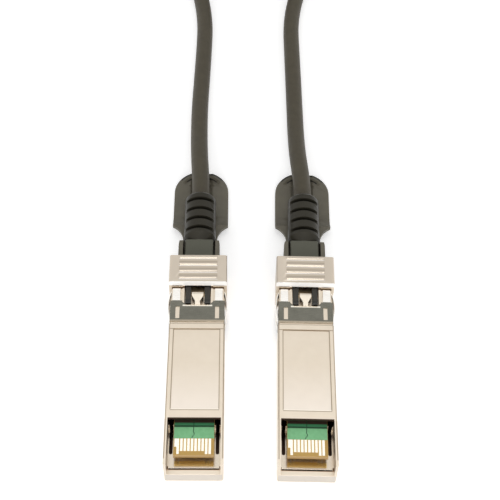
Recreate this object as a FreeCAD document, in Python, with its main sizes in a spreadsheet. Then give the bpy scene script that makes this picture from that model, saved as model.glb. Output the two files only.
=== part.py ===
"""Direct attach copper cable: two identical latching plugs on one twin-axial cable.

Each plug lies on its label side with its latch side up.  Y runs from the host end of a plug
(y = 0) to the cable, X runs across and Z runs up from the table.  All lengths are millimetres.
"""
import FreeCAD, Part
import math
import os
import Sketcher

DOC = FreeCAD.newDocument("direct_attach_cable")
SHEET = DOC.addObject("Spreadsheet::Sheet", "size")

DRIVING = {
    # plug body, the part that goes into the cage
    "plug_spacing": 25.5, "plug_splay": 0.58, "body_width": 13.4, "body_height": 8.5,
    "corner_round": 0.45,
    "side_wall": 0.65, "floor_thickness": 1.0, "mouth_length": 11.3,
    "lip_length": 1.2, "lip_height": 3.4, "seam_width": 0.4, "seam_depth": 0.7,
    "plateau_height": 3.25, "plateau_length": 7.6, "cavity_half": 4.2,
    "slot_start": 5.0, "slot_inner": 4.9, "slot_outer": 5.7, "slot_end": 35.5,
    "cavity_end": 46.5, "lid_plate": 1.1, "lid_cavity_half": 5.0,
    "label_start": 13.8, "label_length": 21.35, "label_half": 5.55, "label_depth": 0.25,
    "brow_length": 2.2, "brow_plate": 0.5,
    # card
    "board_width": 9.2, "board_thickness": 1.0, "card_depth": 2.25, "board_start": 3.1,
    "card_tail_gap": 3.3, "board_bevel": 0.3, "pad_pitch": 0.8, "pad_width": 0.56,
    "pad_thickness": 0.05, "pad_rear": 7.45, "pad_short_front": 4.4, "pad_long_front": 3.65,
    "pad_hook_width": 0.5, "pad_hook_front": 5.45,
    # latch pocket
    "pocket_start": 41.9, "pocket_half": 3.25, "pocket_depth": 1.8, "pocket_floor_thickness": 0.7,
    "rim_half": 3.75, "notch_bevel": 1.0, "boss_half": 1.4, "boss_nose_half": 0.6,
    "boss_nose_length": 2.5,
    "boss_height": 0.45, "latch_shoulder": 45.3,
    "pocket_wall": 0.8, "nose_taper": 1.4, "ramp_reach": 0.4,
    # rear hood
    "stop_face": 47.5, "hood_end": 55.5, "hood_width": 14.3, "hood_rise": 1.8, "hood_wall": 1.0,
    "hood_round": 0.6, "rib_height": 0.28, "rib_length": 1.0, "rib_pitch": 2.02, "rib_half": 4.6,
    "rib_first": 48.35, "rib_peak": 0.3,
    # spring collar
    "collar_start": 37.2, "collar_lead": 0.55, "collar_recess": 0.3, "collar_sheet": 0.22, "collar_band": 6.0,
    "collar_notch": 41.85, "finger_end": 46.6, "finger_bulge": 0.65, "finger_height": 2.6,
    "finger_gap": 0.7, "window_inner": 4.3, "window_outer": 5.3, "window_start": 38.15,
    "window_length": 3.45, "tongue_inner": 4.25, "tongue_outer": 6.1, "tongue_rise": 0.45,
    "tongue_lap": 0.2, "tongue_flat": 0.6, "finger_margin": 1.3,
    # release slider
    "travel": 2.5, "slider_half": 5.2, "arm_thickness": 1.1, "tine_tip": 42.6, "tine_half": 0.7,
    "tine_place": 2.35, "tine_drop": 0.1, "tine_clearance": 0.5, "bridge_front": 48.7,
    "bridge_length": 2.8, "bridge_thickness": 0.8, "running_gap": 0.15, "table_gap": 0.2,
    "arm_depth": 0.3, "arm_bottom": 1.2, "arm_drop_start": 61.6, "arm_drop_end": 64.4,
    "arm_taper_start": 60.4,
    "saddle_start": 61.0, "saddle_height": 3.4, "waist_place": 65.5, "waist_half": 4.4,
    "flare_end": 69.9, "web_end": 70.2, "web_fillet": 6.0, "tab_half": 7.24,
    "wing_depth": 1.0, "wing_lap": 0.5, "wing_slope": 2.2,
    "tab_height": 1.9, "tab_round_centre": 82.26, "trough_half": 3.0, "trough_depth": 0.8,
    "trough_start": 72.5, "ridge_height": 0.5, "ridge_length": 0.8, "ridge_outer": 6.1,
    "ridge_inner": 4.1, "ridge_angle": 112.0, "bed_axis": 4.75,
    "ridge_lean": 0.1, "saddle_inset": 0.1, "flare_radius": 5.2, "foot_start": 56.3,
    "foot_slope": 1.0, "web_thickness": 0.7, "tine_nose": 0.3, "tine_chin": 0.4,
    "tine_sag": 0.4, "tine_ramp_start": 1.0, "tine_ramp_end": 3.4,
    # strain relief
    "cable_axis": 5.6, "cable_diameter": 4.7, "block_half": 3.6, "block_depth": 0.35,
    "block_bottom": 2.2, "block_front": 53.3, "flange_length": 1.2, "flange_half": 3.9,
    "neck_radius": 1.8, "block_end": 61.9, "boot_start": 63.6, "boot_radius": 4.1,
    "boot_shoulder": 75.9, "boot_end": 77.0, "boot_clearance": 0.35, "groove_first": 65.0,
    "groove_pitch": 3.05, "groove_width": 1.05, "groove_floor": 2.05,
    "block_round": 0.6, "anchor_gap": 0.1, "neck_lap": 1.0, "boot_curve": 1.8, "boot_lip": 0.15,
    # inner parts
    "wire_diameter": 0.9, "wire_lap": 1.8, "wire_bend_end": 2.7, "wire_rise_length": 6.5,
    "wire_clearance": 0.03, "wire_pitch": 1.1, "ferrule_outer": 1.9, "ferrule_inner": 1.45,
    "ferrule_length": 1.3, "spring_sheet": 0.28, "spring_wave": 0.6, "spring_height": 1.0,
    "chip_length": 3.0, "chip_height": 0.75, "chip_start": 26.0, "capacitor_length": 1.0,
    "capacitor_start": 18.0, "screw_radius": 0.7, "screw_head_radius": 1.0, "screw_place": 45.2,
    "screw_offset": 5.25, "screw_tip_depth": 2.3, "thread_clearance": 0.3,
    "screw_gap": 0.05, "wire_end_gap": 0.15, "wire_lead": 0.6,
    # how far a cut or a joined block reaches past the face it starts on
    "bite": 0.1,
    # coil
    "coil_radius": 23.5, "coil_centre_x": -1.1, "coil_centre_y": 198.0,
}

# Route of each visible length of cable, from its boot along the table to the coil.
ROUTES = {
    "a": [(-13.53, 77.0, 5.6), (-13.75, 84.0, 5.45), (-14.45, 93.0, 4.5), (-14.85, 102.0, 3.1),
          (-15.05, 112.5, 2.45), (-14.8, 123.5, 2.4), (-14.55, 135.5, 2.45), (-14.45, 149.0, 2.4),
          (-16.6, 163.2, 2.45), (-21.2, 175.0, 2.4), (-26.9, 186.6, 2.45)],
    "b": [(13.53, 77.0, 5.6), (13.35, 84.0, 5.45), (12.55, 93.0, 4.5), (12.25, 102.0, 3.1),
          (12.15, 112.5, 2.45), (12.0, 123.5, 2.4), (11.8, 135.5, 2.45), (11.6, 149.5, 2.4),
          (13.9, 163.0, 2.75), (18.6, 174.6, 4.6), (23.9, 184.9, 6.4)],
}


class Size:
    """A length that knows its number and the sheet expression that gives it."""

    def __init__(self, number, text):
        self.number, self.text = number, text

    def join(self, other, sign, result):
        return Size(result, f"({self.text} {sign} {lift(other).text})")

    def __add__(self, other):
        return self.join(other, "+", self.number + lift(other).number)

    def __sub__(self, other):
        return self.join(other, "-", self.number - lift(other).number)

    def __mul__(self, other):
        return self.join(other, "*", self.number * lift(other).number)

    def __truediv__(self, other):
        return self.join(other, "/", self.number / lift(other).number)

    def __neg__(self):
        return Size(-self.number, f"(-1 * {self.text})")

    def __radd__(self, other):
        return lift(other) + self

    def __rsub__(self, other):
        return lift(other) - self

    def __rmul__(self, other):
        return lift(other) * self


def lift(value):
    """A plain number as a Size."""
    return value if isinstance(value, Size) else Size(float(value), repr(float(value)))


def root(value):
    """Square root of a Size."""
    return Size(math.sqrt(value.number), f"sqrt({value.text})")


class Sizes:
    """The driving dimensions by name, as written in the sheet."""


S = Sizes()
for row, (name, number) in enumerate(DRIVING.items(), start=1):
    SHEET.set(f"A{row}", name)
    SHEET.set(f"B{row}", str(number))
    SHEET.setAlias(f"B{row}", name)
    setattr(S, name, Size(number, f"size.{name}"))
DOC.recompute()

PADS = 10
LONG_PADS = (0, 8, 9)
PARTS = []
SIDES = {"a": -1, "b": 1}


def bind(item, prop, value):
    """Set a property from a Size, by its sheet expression."""
    item.setExpression(prop, lift(value).text)


def place(item, label, x=0.0, y=0.0, turn=0.0):
    """Name a finished sub-part, put it in its place and list it for export.

    Lengths along Y are drawn from the host end of the plugs; the model's origin is halfway
    along them.
    """
    item.Label = label
    middle = (S.tab_round_centre + S.tab_half) / 2
    bind(item, "Placement.Base.x", x)
    bind(item, "Placement.Base.y", y - middle)
    bind(item, "Placement.Rotation.Angle", turn)
    PARTS.append(item)
    return item


def in_plug(item, label, x):
    """Place a sub-part of a plug; the two plugs splay a little apart towards their tabs."""
    return place(item, label, x, turn=S.plug_splay if x.number < 0 else -S.plug_splay)


def new_body(label):
    return DOC.addObject("PartDesign::Body", label)


def sketch(body, plane, offset=0.0):
    """A sketch on one of the body's own origin planes, moved by offset along +X, +Y or +Z."""
    item = body.newObject("Sketcher::SketchObject", f"{body.Name}_sketch")
    role = {"XY": "XY_Plane", "XZ": "XZ_Plane", "YZ": "YZ_Plane"}[plane]
    base = next(f for f in body.Origin.OriginFeatures if f.Role == role)
    item.AttachmentSupport = (base, [""])
    item.MapMode = "FlatFace"
    bind(item, "AttachmentOffset.Base.z", -offset if plane == "XZ" else offset)
    return item


def arc_through(start, end, radius):
    """The arc from start to end that turns left for a positive radius, right for a negative."""
    dx, dy = end[0] - start[0], end[1] - start[1]
    chord = math.hypot(dx, dy)
    rise = math.sqrt(max(radius * radius - chord * chord / 4, 0.0)) * math.copysign(1, radius)
    cx = (start[0] + end[0]) / 2 - dy / chord * rise
    cy = (start[1] + end[1]) / 2 + dx / chord * rise
    first = math.atan2(start[1] - cy, start[0] - cx)
    last = math.atan2(end[1] - cy, end[0] - cx)
    if radius < 0:
        first, last = last, first
    circle = Part.Circle(FreeCAD.Vector(cx, cy, 0), FreeCAD.Vector(0, 0, 1), abs(radius))
    return Part.ArcOfCircle(circle, first, last)


def outline(item, corners):
    """A closed outline through corners (x, y), or (x, y, radius) where an arc ends."""
    corners = [tuple(lift(v) for v in corner) for corner in corners]
    ends = []
    for index, corner in enumerate(corners):
        start = [v.number for v in corners[index - 1][:2]]
        end = [v.number for v in corner[:2]]
        if len(corner) == 2:
            line = Part.LineSegment(FreeCAD.Vector(*start, 0), FreeCAD.Vector(*end, 0))
            ends.append((item.addGeometry(line, False), 1, 2))
        else:
            arc = item.addGeometry(arc_through(start, end, corner[2].number), False)
            ends.append((arc, 1, 2) if corner[2].number > 0 else (arc, 2, 1))
    for index, (edge, first, _) in enumerate(ends):
        before, _, last = ends[index - 1]
        item.addConstraint(Sketcher.Constraint("Coincident", before, last, edge, first))
    for corner, (edge, _, last) in zip(corners, ends):
        for kind, value in (("DistanceX", corner[0]), ("DistanceY", corner[1])):
            rule = Sketcher.Constraint(kind, -1, 1, edge, last, value.number)
            bind(item, f"Constraints[{item.addConstraint(rule)}]", value)
        if len(corner) == 3:
            size = corner[2] if corner[2].number > 0 else -corner[2]
            rule = item.addConstraint(Sketcher.Constraint("Radius", edge, size.number))
            bind(item, f"Constraints[{rule}]", size)
    return item


def rectangle(item, x0, y0, x1, y1):
    return outline(item, [(x0, y0), (x1, y0), (x1, y1), (x0, y1)])


def circle(item, x, y, radius):
    """A circle with its centre and radius bound."""
    x, y, radius = lift(x), lift(y), lift(radius)
    centre = FreeCAD.Vector(x.number, y.number, 0)
    ring = Part.Circle(centre, FreeCAD.Vector(0, 0, 1), radius.number)
    edge = item.addGeometry(ring, False)
    for kind, value in (("DistanceX", x), ("DistanceY", y)):
        rule = item.addConstraint(Sketcher.Constraint(kind, -1, 1, edge, 3, value.number))
        bind(item, f"Constraints[{rule}]", value)
    rule = item.addConstraint(Sketcher.Constraint("Radius", edge, radius.number))
    bind(item, f"Constraints[{rule}]", radius)
    return item


def extrude(body, profile, length, cut=False, both=False):
    """Pad or pocket a profile along +X, +Y or +Z, or half to each side."""
    kind = "PartDesign::Pocket" if cut else "PartDesign::Pad"
    item = body.newObject(kind, f"{body.Name}_{'cut' if cut else 'pad'}")
    item.Profile = profile
    bind(item, "Length", length)
    role = profile.AttachmentSupport[0][0].Role
    against = role == "XZ_Plane"
    item.Reversed = not against if cut else against
    item.Midplane = both
    before = body.Shape.Volume if cut else 0.0
    DOC.recompute()
    if cut and not body.Shape.Volume < before:
        raise ValueError(f"{item.Name} cuts nothing")
    return item


def revolve(body, profile, start, end, angle=360.0):
    """Turn a profile about the line from start to end in its own plane, half to each side."""
    start, end = [[lift(v) for v in point] for point in (start, end)]
    points = [FreeCAD.Vector(*(v.number for v in point), 0) for point in (start, end)]
    line = profile.addGeometry(Part.LineSegment(*points), True)
    for vertex, point in ((1, start), (2, end)):
        for kind, value in (("DistanceX", point[0]), ("DistanceY", point[1])):
            rule = Sketcher.Constraint(kind, -1, 1, line, vertex, value.number)
            bind(profile, f"Constraints[{profile.addConstraint(rule)}]", value)
    item = body.newObject("PartDesign::Revolution", f"{body.Name}_turn")
    item.Profile = profile
    item.ReferenceAxis = (profile, ["Axis0"])
    item.Midplane = lift(angle).number < 360
    bind(item, "Angle", angle)
    DOC.recompute()
    return item


def block(body, low, high, cut=False):
    """A box from one corner to the other, padded or cut along Z from its own sketch."""
    profile = rectangle(sketch(body, "XY", low[2]), low[0], low[1], high[0], high[1])
    return extrude(body, profile, lift(high[2]) - low[2], cut)


def edges_of(shape, chosen):
    """Names of the edges whose middle and direction pass the test."""
    names = []
    for index, edge in enumerate(shape.Edges, start=1):
        middle = edge.valueAt((edge.FirstParameter + edge.LastParameter) / 2)
        run = edge.Vertexes[-1].Point - edge.Vertexes[0].Point
        if chosen(middle, run, edge):
            names.append(f"Edge{index}")
    return names


def soften(body, chosen, radius, kind="Fillet"):
    """Fillet or chamfer the chosen edges of the body's tip."""
    tip = body.Tip
    names = edges_of(tip.Shape, chosen)
    item = body.newObject(f"PartDesign::{kind}", f"{body.Name}_{kind.lower()}")
    item.Base = (tip, names)
    bind(item, "Radius" if kind == "Fillet" else "Size", radius)
    DOC.recompute()
    return item


def along(axis, run):
    """True if an edge runs along one axis only."""
    vector = [abs(run.x), abs(run.y), abs(run.z)]
    return vector["xyz".index(axis)] > 0.999 * run.Length > 0


def near(value, target, slack=0.01):
    return abs(value - lift(target).number) < slack


board_top = S.body_height - S.card_depth
board_end = S.pocket_start - S.card_tail_gap
pocket_floor = S.body_height - S.pocket_depth
hood_top = S.body_height + S.hood_rise
tine_top = S.body_height - S.tine_drop
tine_bottom = pocket_floor + S.tine_clearance
arm_top = S.body_height - S.arm_depth
block_top = S.body_height - S.block_depth
screw_tip = S.body_height - S.screw_tip_depth
parting = board_top - S.board_thickness
half_body = S.body_width / 2
mouth_half = half_body - S.side_wall
half_hood = S.hood_width / 2
slide_half = S.slider_half + S.running_gap
hood_inside = hood_top - S.hood_wall
recess_half = half_body - S.collar_recess
wire_room = pocket_floor - S.pocket_floor_thickness
anchor_end = S.block_front + S.flange_length


def collar_seat(body, low, high, top):
    """Sink the outside of a shell half so that the sheet collar lies flush in it."""
    seat = S.collar_start - S.collar_lead
    for side in (-1, 1):
        inner, outer = side * recess_half, side * half_body
        first, last = (inner, outer) if side > 0 else (outer, inner)
        block(body, (first, seat, low), (last, S.stop_face, high), cut=True)
    if top:
        floor = S.body_height - S.collar_recess
        x = recess_half
        steps = [(-x, seat), (x, seat), (x, S.stop_face),
                 (S.rim_half, S.stop_face), (S.rim_half, S.collar_notch + S.notch_bevel),
                 (S.rim_half - S.notch_bevel, S.collar_notch),
                 (S.notch_bevel - S.rim_half, S.collar_notch),
                 (-S.rim_half, S.collar_notch + S.notch_bevel), (-S.rim_half, S.stop_face),
                 (-x, S.stop_face)]
        profile = outline(sketch(body, "XY", floor), steps)
        extrude(body, profile, S.collar_recess, cut=True)
    else:
        block(body, (-recess_half, seat, 0.0), (recess_half, S.stop_face, S.collar_recess),
              cut=True)


def plan_of_shell(front):
    """Plan of a shell half: the body, then the wider rear behind the stop."""
    return [(-half_body, front), (half_body, front), (half_body, S.stop_face),
            (half_hood, S.stop_face), (half_hood, S.hood_end), (-half_hood, S.hood_end),
            (-half_hood, S.stop_face), (-half_body, S.stop_face)]


def make_cover_shell(tag, x):
    """The die-cast half on the label side: floor, nose, mouth walls and card ledges."""
    body = new_body(f"cover_shell_{tag}")
    extrude(body, outline(sketch(body, "XY"), plan_of_shell(0.0)), parting)
    block(body, (-half_body, 0.0, parting), (half_body, S.mouth_length, S.body_height))
    block(body, (-mouth_half, 0.0, S.lip_height), (mouth_half, S.mouth_length, S.body_height),
          cut=True)
    seam_end = S.lip_length + S.seam_width
    block(body, (-mouth_half, seam_end, S.plateau_height),
          (mouth_half, S.mouth_length, S.body_height), cut=True)
    block(body, (-S.slot_outer, S.lip_length, S.plateau_height - S.seam_depth),
          (S.slot_outer, seam_end, S.lip_height), cut=True)
    block(body, (-S.cavity_half, S.plateau_length, S.floor_thickness),
          (S.cavity_half, S.cavity_end, parting), cut=True)
    slot_round = (S.slot_outer - S.slot_inner) / 2
    for side in (-1, 1):
        inner, outer = side * S.slot_inner, side * S.slot_outer
        tip = S.slot_start + slot_round
        turn = -slot_round if side > 0 else slot_round
        profile = outline(sketch(body, "XY", S.floor_thickness),
                          [(outer, S.slot_end), (inner, S.slot_end), (inner, tip),
                           (side * (S.slot_inner + slot_round), S.slot_start, -turn),
                           (outer, tip, -turn)])
        extrude(body, profile, parting - S.floor_thickness, cut=True)
    block(body, (-slide_half, S.stop_face + S.hood_wall, S.floor_thickness),
          (slide_half, S.hood_end, parting), cut=True)
    block(body, (-S.flange_half, S.cavity_end, S.floor_thickness),
          (S.flange_half, S.stop_face + S.hood_wall, parting), cut=True)
    rib_top = S.block_bottom - S.running_gap
    for start, end in ((S.block_front - S.flange_length, S.block_front - S.anchor_gap),
                       (anchor_end + S.anchor_gap, S.hood_end)):
        block(body, (-S.flange_half, start, S.floor_thickness), (S.flange_half, end, rib_top))
    collar_seat(body, 0.0, parting, top=False)
    for side in (-1, 1):
        hole = circle(sketch(body, "XY"), side * S.screw_offset, S.screw_place,
                      S.screw_radius + S.screw_gap)
        extrude(body, hole, parting, cut=True)
        sink = circle(sketch(body, "XY"), side * S.screw_offset, S.screw_place,
                      S.screw_head_radius + S.screw_gap)
        extrude(body, sink, S.collar_recess + S.floor_thickness / 2, cut=True)
    soften(body, lambda m, r, e: along("z", r) and near(abs(m.x), half_body)
           and near(m.y, 0.0), S.corner_round)
    return in_plug(body, f"cover_shell_{tag}", x)


def make_latch_shell(tag, x):
    """The die-cast half on the latch side: plate, label recess, pocket, boss and hood."""
    body = new_body(f"latch_shell_{tag}")
    extrude(body, outline(sketch(body, "XY", parting), plan_of_shell(S.mouth_length)),
            S.body_height - parting)
    block(body, (-half_hood, S.stop_face, S.body_height), (half_hood, S.hood_end, hood_top))
    lid_inside = S.body_height - S.lid_plate
    block(body, (-S.lid_cavity_half, S.mouth_length, parting),
          (S.lid_cavity_half, S.pocket_start - S.pocket_wall, lid_inside), cut=True)
    block(body, (-mouth_half, S.mouth_length, parting),
          (mouth_half, S.mouth_length + S.brow_length, S.body_height - S.brow_plate), cut=True)
    block(body, (-S.cavity_half, S.pocket_start - S.pocket_wall, parting),
          (S.cavity_half, S.stop_face + S.hood_wall, wire_room), cut=True)
    block(body, (-slide_half, S.stop_face + S.hood_wall, parting),
          (slide_half, S.hood_end, hood_inside), cut=True)
    block(body, (-S.pocket_half, S.pocket_start, pocket_floor),
          (S.pocket_half, S.stop_face + S.hood_wall, S.body_height), cut=True)
    label_end = S.label_start + S.label_length
    block(body, (-S.label_half, S.label_start, S.body_height - S.label_depth),
          (S.label_half, label_end, S.body_height), cut=True)
    collar_seat(body, parting, S.body_height, top=True)
    for side in (-1, 1):
        thread = circle(sketch(body, "XY", parting), side * S.screw_offset, S.screw_place,
                        S.screw_radius)
        extrude(body, thread, screw_tip - parting, cut=True)
    nose = S.pocket_start + S.boss_nose_length
    top = S.body_height + S.boss_height
    plan = [(-S.boss_nose_half, S.pocket_start), (S.boss_nose_half, S.pocket_start),
            (S.boss_nose_half, nose - S.nose_taper), (S.boss_half, nose),
            (S.boss_half, S.latch_shoulder), (-S.boss_half, S.latch_shoulder),
            (-S.boss_half, nose), (-S.boss_nose_half, nose - S.nose_taper)]
    extrude(body, outline(sketch(body, "XY", pocket_floor), plan), top - pocket_floor)
    front, back = S.pocket_start - S.bite, nose + S.ramp_reach
    ramp = outline(sketch(body, "YZ"), [(front, S.body_height),
                                        (S.pocket_start + S.bite * 2, S.body_height), (back, top),
                                        (back, top + S.bite), (front, top + S.bite)])
    extrude(body, ramp, S.boss_half * 4, cut=True, both=True)
    tooth = outline(sketch(body, "YZ"), [(S.rib_first, hood_top),
                                         (S.rib_first + S.rib_length, hood_top),
                                         (S.rib_first + S.rib_peak,
                                          hood_top + S.rib_height)])
    first_rib = extrude(body, tooth, S.rib_half * 2, both=True)
    rows = body.newObject("PartDesign::LinearPattern", f"{body.Name}_ribs")
    rows.Originals = [first_rib]
    rows.Direction = (next(f for f in body.Origin.OriginFeatures if f.Role == "Y_Axis"), [""])
    rows.Occurrences = 4
    bind(rows, "Length", S.rib_pitch * 3)
    body.Tip = rows
    DOC.recompute()
    soften(body, lambda m, r, e: along("y", r) and near(m.z, hood_top)
           and near(abs(m.x), half_hood), S.hood_round)
    soften(body, lambda m, r, e: along("y", r) and near(m.z, S.body_height)
           and near(abs(m.x), half_body) and m.y < S.collar_start.number, S.corner_round)
    return in_plug(body, f"latch_shell_{tag}", x)


def make_collar(tag, x):
    """The sheet-metal spring collar round the body, with windows, tongues and side fingers."""
    body = new_body(f"spring_collar_{tag}")
    sheet = S.collar_sheet
    inner, outer = recess_half, recess_half + sheet
    low, high = S.collar_recess - sheet, S.body_height - S.collar_recess + sheet
    band_end = S.collar_start + S.collar_band
    ring = rectangle(sketch(body, "XZ", S.collar_start), -outer, low, outer, high)
    extrude(body, ring, S.collar_band)
    core = rectangle(sketch(body, "XZ", S.collar_start), -inner, S.collar_recess, inner,
                     S.body_height - S.collar_recess)
    extrude(body, core, S.collar_band, cut=True)
    notch = [(-S.rim_half, band_end), (-S.rim_half, S.collar_notch + S.notch_bevel),
             (S.notch_bevel - S.rim_half, S.collar_notch),
             (S.rim_half - S.notch_bevel, S.collar_notch),
             (S.rim_half, S.collar_notch + S.notch_bevel), (S.rim_half, band_end)]
    extrude(body, outline(sketch(body, "XY", S.body_height - S.collar_recess), notch), sheet,
            cut=True)
    for side in (-1, 1):
        window = (S.window_inner, S.window_outer) if side > 0 else (-S.window_outer,
                                                                    -S.window_inner)
        block(body, (window[0], S.window_start, S.body_height - S.collar_recess),
              (window[1], S.window_start + S.window_length, high), cut=True)
        tongue = (S.tongue_inner, S.tongue_outer) if side > 0 else (-S.tongue_outer,
                                                                    -S.tongue_inner)
        crest = high + S.tongue_rise
        lap, bend = band_end - S.tongue_lap, S.finger_end - S.tongue_flat
        bent = [(lap, high - sheet), (band_end, high - sheet), (bend, crest - sheet),
                (S.finger_end, crest - sheet - S.tongue_lap), (S.finger_end, crest - S.tongue_lap),
                (bend, crest), (band_end, high), (lap, high)]
        profile = outline(sketch(body, "YZ", tongue[0]), bent)
        extrude(body, profile, tongue[1] - tongue[0])
        add_side_fingers(body, side)
    return in_plug(body, f"spring_collar_{tag}", x)


def add_side_fingers(body, side):
    """Two bowed contact fingers on one side of the collar, each over its own window."""
    inner, outer = side * recess_half, side * (recess_half + S.collar_sheet)
    root_line, tip = S.collar_start + S.finger_margin, S.finger_end
    half_chord = (tip - root_line) / 2
    bow = (half_chord * half_chord + S.finger_bulge * S.finger_bulge) / (S.finger_bulge * 2)
    pair = S.finger_height * 2 + S.finger_gap
    for index in range(2):
        low = (S.body_height - pair) / 2 + index * (S.finger_height + S.finger_gap)
        window = (inner, outer) if side > 0 else (outer, inner)
        block(body, (window[0], root_line, low),
              (window[1], S.collar_start + S.collar_band, low + S.finger_height), cut=True)
        turn = bow if side > 0 else -bow
        lap = root_line - S.tongue_lap
        strip = [(outer, lap), (outer, root_line), (outer, tip, turn), (inner, tip),
                 (inner, root_line, -turn), (inner, lap)]
        extrude(body, outline(sketch(body, "XY", low), strip), S.finger_height)


def make_board(tag, x):
    """The card: its front end is the edge connector."""
    body = new_body(f"circuit_board_{tag}")
    half = S.board_width / 2
    block(body, (-half, S.board_start, parting), (half, board_end, board_top))
    soften(body, lambda m, r, e: along("x", r) and near(m.y, S.board_start),
           S.board_bevel, "Chamfer")
    return in_plug(body, f"circuit_board_{tag}", x)


def boxes(label, x, rows):
    """A group of loose boxes, each (x, y, z, width, length, height), as one compound."""
    members = []
    for low_x, low_y, low_z, width, length, height in rows:
        item = DOC.addObject("Part::Box", f"{label}_one")
        for prop, value in (("Width", length), ("Length", width), ("Height", height),
                            ("Placement.Base.x", low_x), ("Placement.Base.y", low_y),
                            ("Placement.Base.z", low_z)):
            bind(item, prop, value)
        members.append(item)
    group = DOC.addObject("Part::Compound", label)
    group.Links = members
    return in_plug(group, label, x)


def make_pads(tag, x):
    """Ten gold contacts on each face of the card; two on the latch side reach further."""
    for face, base in (("upper", board_top), ("lower", parting - S.pad_thickness)):
        rows = []
        for index in range(PADS):
            middle = S.pad_pitch * (index - (PADS - 1) / 2)
            front = S.pad_long_front if index in LONG_PADS else S.pad_short_front
            rows.append((middle - S.pad_width / 2, front, base, S.pad_width,
                         S.pad_rear - front, S.pad_thickness))
        if face == "upper":
            rows.append((rows[0][0] - S.pad_hook_width, S.pad_hook_front, base,
                         S.pad_hook_width, S.pad_rear - S.pad_hook_front, S.pad_thickness))
        boxes(f"{face}_contacts_{tag}", x, rows)


def make_card_parts(tag, x):
    """Memory chip and coupling capacitors on the latch side of the card."""
    chip = S.chip_length
    boxes(f"memory_chip_{tag}", x, [(-chip / 2, S.chip_start, board_top, chip, chip,
                                     S.chip_height)])
    rows = []
    for index in range(4):
        middle = S.pad_pitch * (2 * index - 3)
        rows.append((middle - S.capacitor_length / 4, S.capacitor_start, board_top,
                     S.capacitor_length / 2, S.capacitor_length, S.capacitor_length / 2))
    boxes(f"capacitors_{tag}", x, rows)


def make_screws(tag, x):
    """Two small countersunk-style screws that hold the shell halves together."""
    members = []
    for side in (-1, 1):
        shank = DOC.addObject("Part::Cylinder", f"screw_shank_{tag}")
        head = DOC.addObject("Part::Cylinder", f"screw_head_{tag}")
        bind(shank, "Radius", S.screw_radius)
        bind(shank, "Height", screw_tip - S.collar_recess - S.thread_clearance)
        bind(head, "Radius", S.screw_head_radius)
        bind(head, "Height", S.floor_thickness / 2)
        for item in (shank, head):
            bind(item, "Placement.Base.x", side * S.screw_offset)
            bind(item, "Placement.Base.y", S.screw_place)
            bind(item, "Placement.Base.z", S.collar_recess)
        screw = DOC.addObject("Part::Fuse", f"screw_{tag}")
        screw.Base, screw.Tool = shank, head
        members.append(screw)
    group = DOC.addObject("Part::Compound", f"case_screws_{tag}")
    group.Links = members
    return in_plug(group, f"case_screws_{tag}", x)


def make_strain_relief(tag, x):
    """The moulded block and the grooved boot behind it, on the end of the cable."""
    body = new_body(f"strain_relief_{tag}")
    axis = S.cable_axis
    block(body, (-S.block_half, S.block_front, S.block_bottom),
          (S.block_half, S.block_end, block_top))
    soften(body, lambda m, r, e: along("y", r), S.block_round)
    block(body, (-S.flange_half, S.block_front, S.floor_thickness + S.running_gap),
          (S.flange_half, anchor_end, block_top))
    start = S.block_end - S.neck_lap
    profile = outline(sketch(body, "YZ"),
                      [(start, axis), (start, axis + S.neck_radius),
                       (S.boot_start, axis + S.boot_radius),
                       (S.boot_shoulder, axis + S.boot_radius),
                       (S.boot_end, axis + S.cable_diameter / 2 + S.boot_lip, -S.boot_curve),
                       (S.boot_end, axis)])
    revolve(body, profile, (0.0, axis), (1.0, axis))
    for side in (-1, 1):
        shift = 0.0 if side > 0 else -S.groove_pitch / 2
        for index in range(4):
            start = S.groove_first + shift + S.groove_pitch * index - S.groove_width / 2
            floor, top = axis + side * S.groove_floor, axis + side * (S.boot_radius + S.bite)
            low, high = (floor, top) if side > 0 else (top, floor)
            block(body, (-S.boot_radius, start, low),
                  (S.boot_radius, start + S.groove_width, high), cut=True)
    return in_plug(body, f"strain_relief_{tag}", x)


def make_ferrule(tag, x):
    """The crimped ring round the bared end of the cable."""
    body = new_body(f"crimp_ferrule_{tag}")
    for radius, cut in ((S.ferrule_outer, False), (S.ferrule_inner, True)):
        ring = circle(sketch(body, "XZ", S.block_front - S.ferrule_length), 0.0, S.cable_axis,
                      radius)
        extrude(body, ring, S.ferrule_length, cut)
    return in_plug(body, f"crimp_ferrule_{tag}", x)


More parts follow.
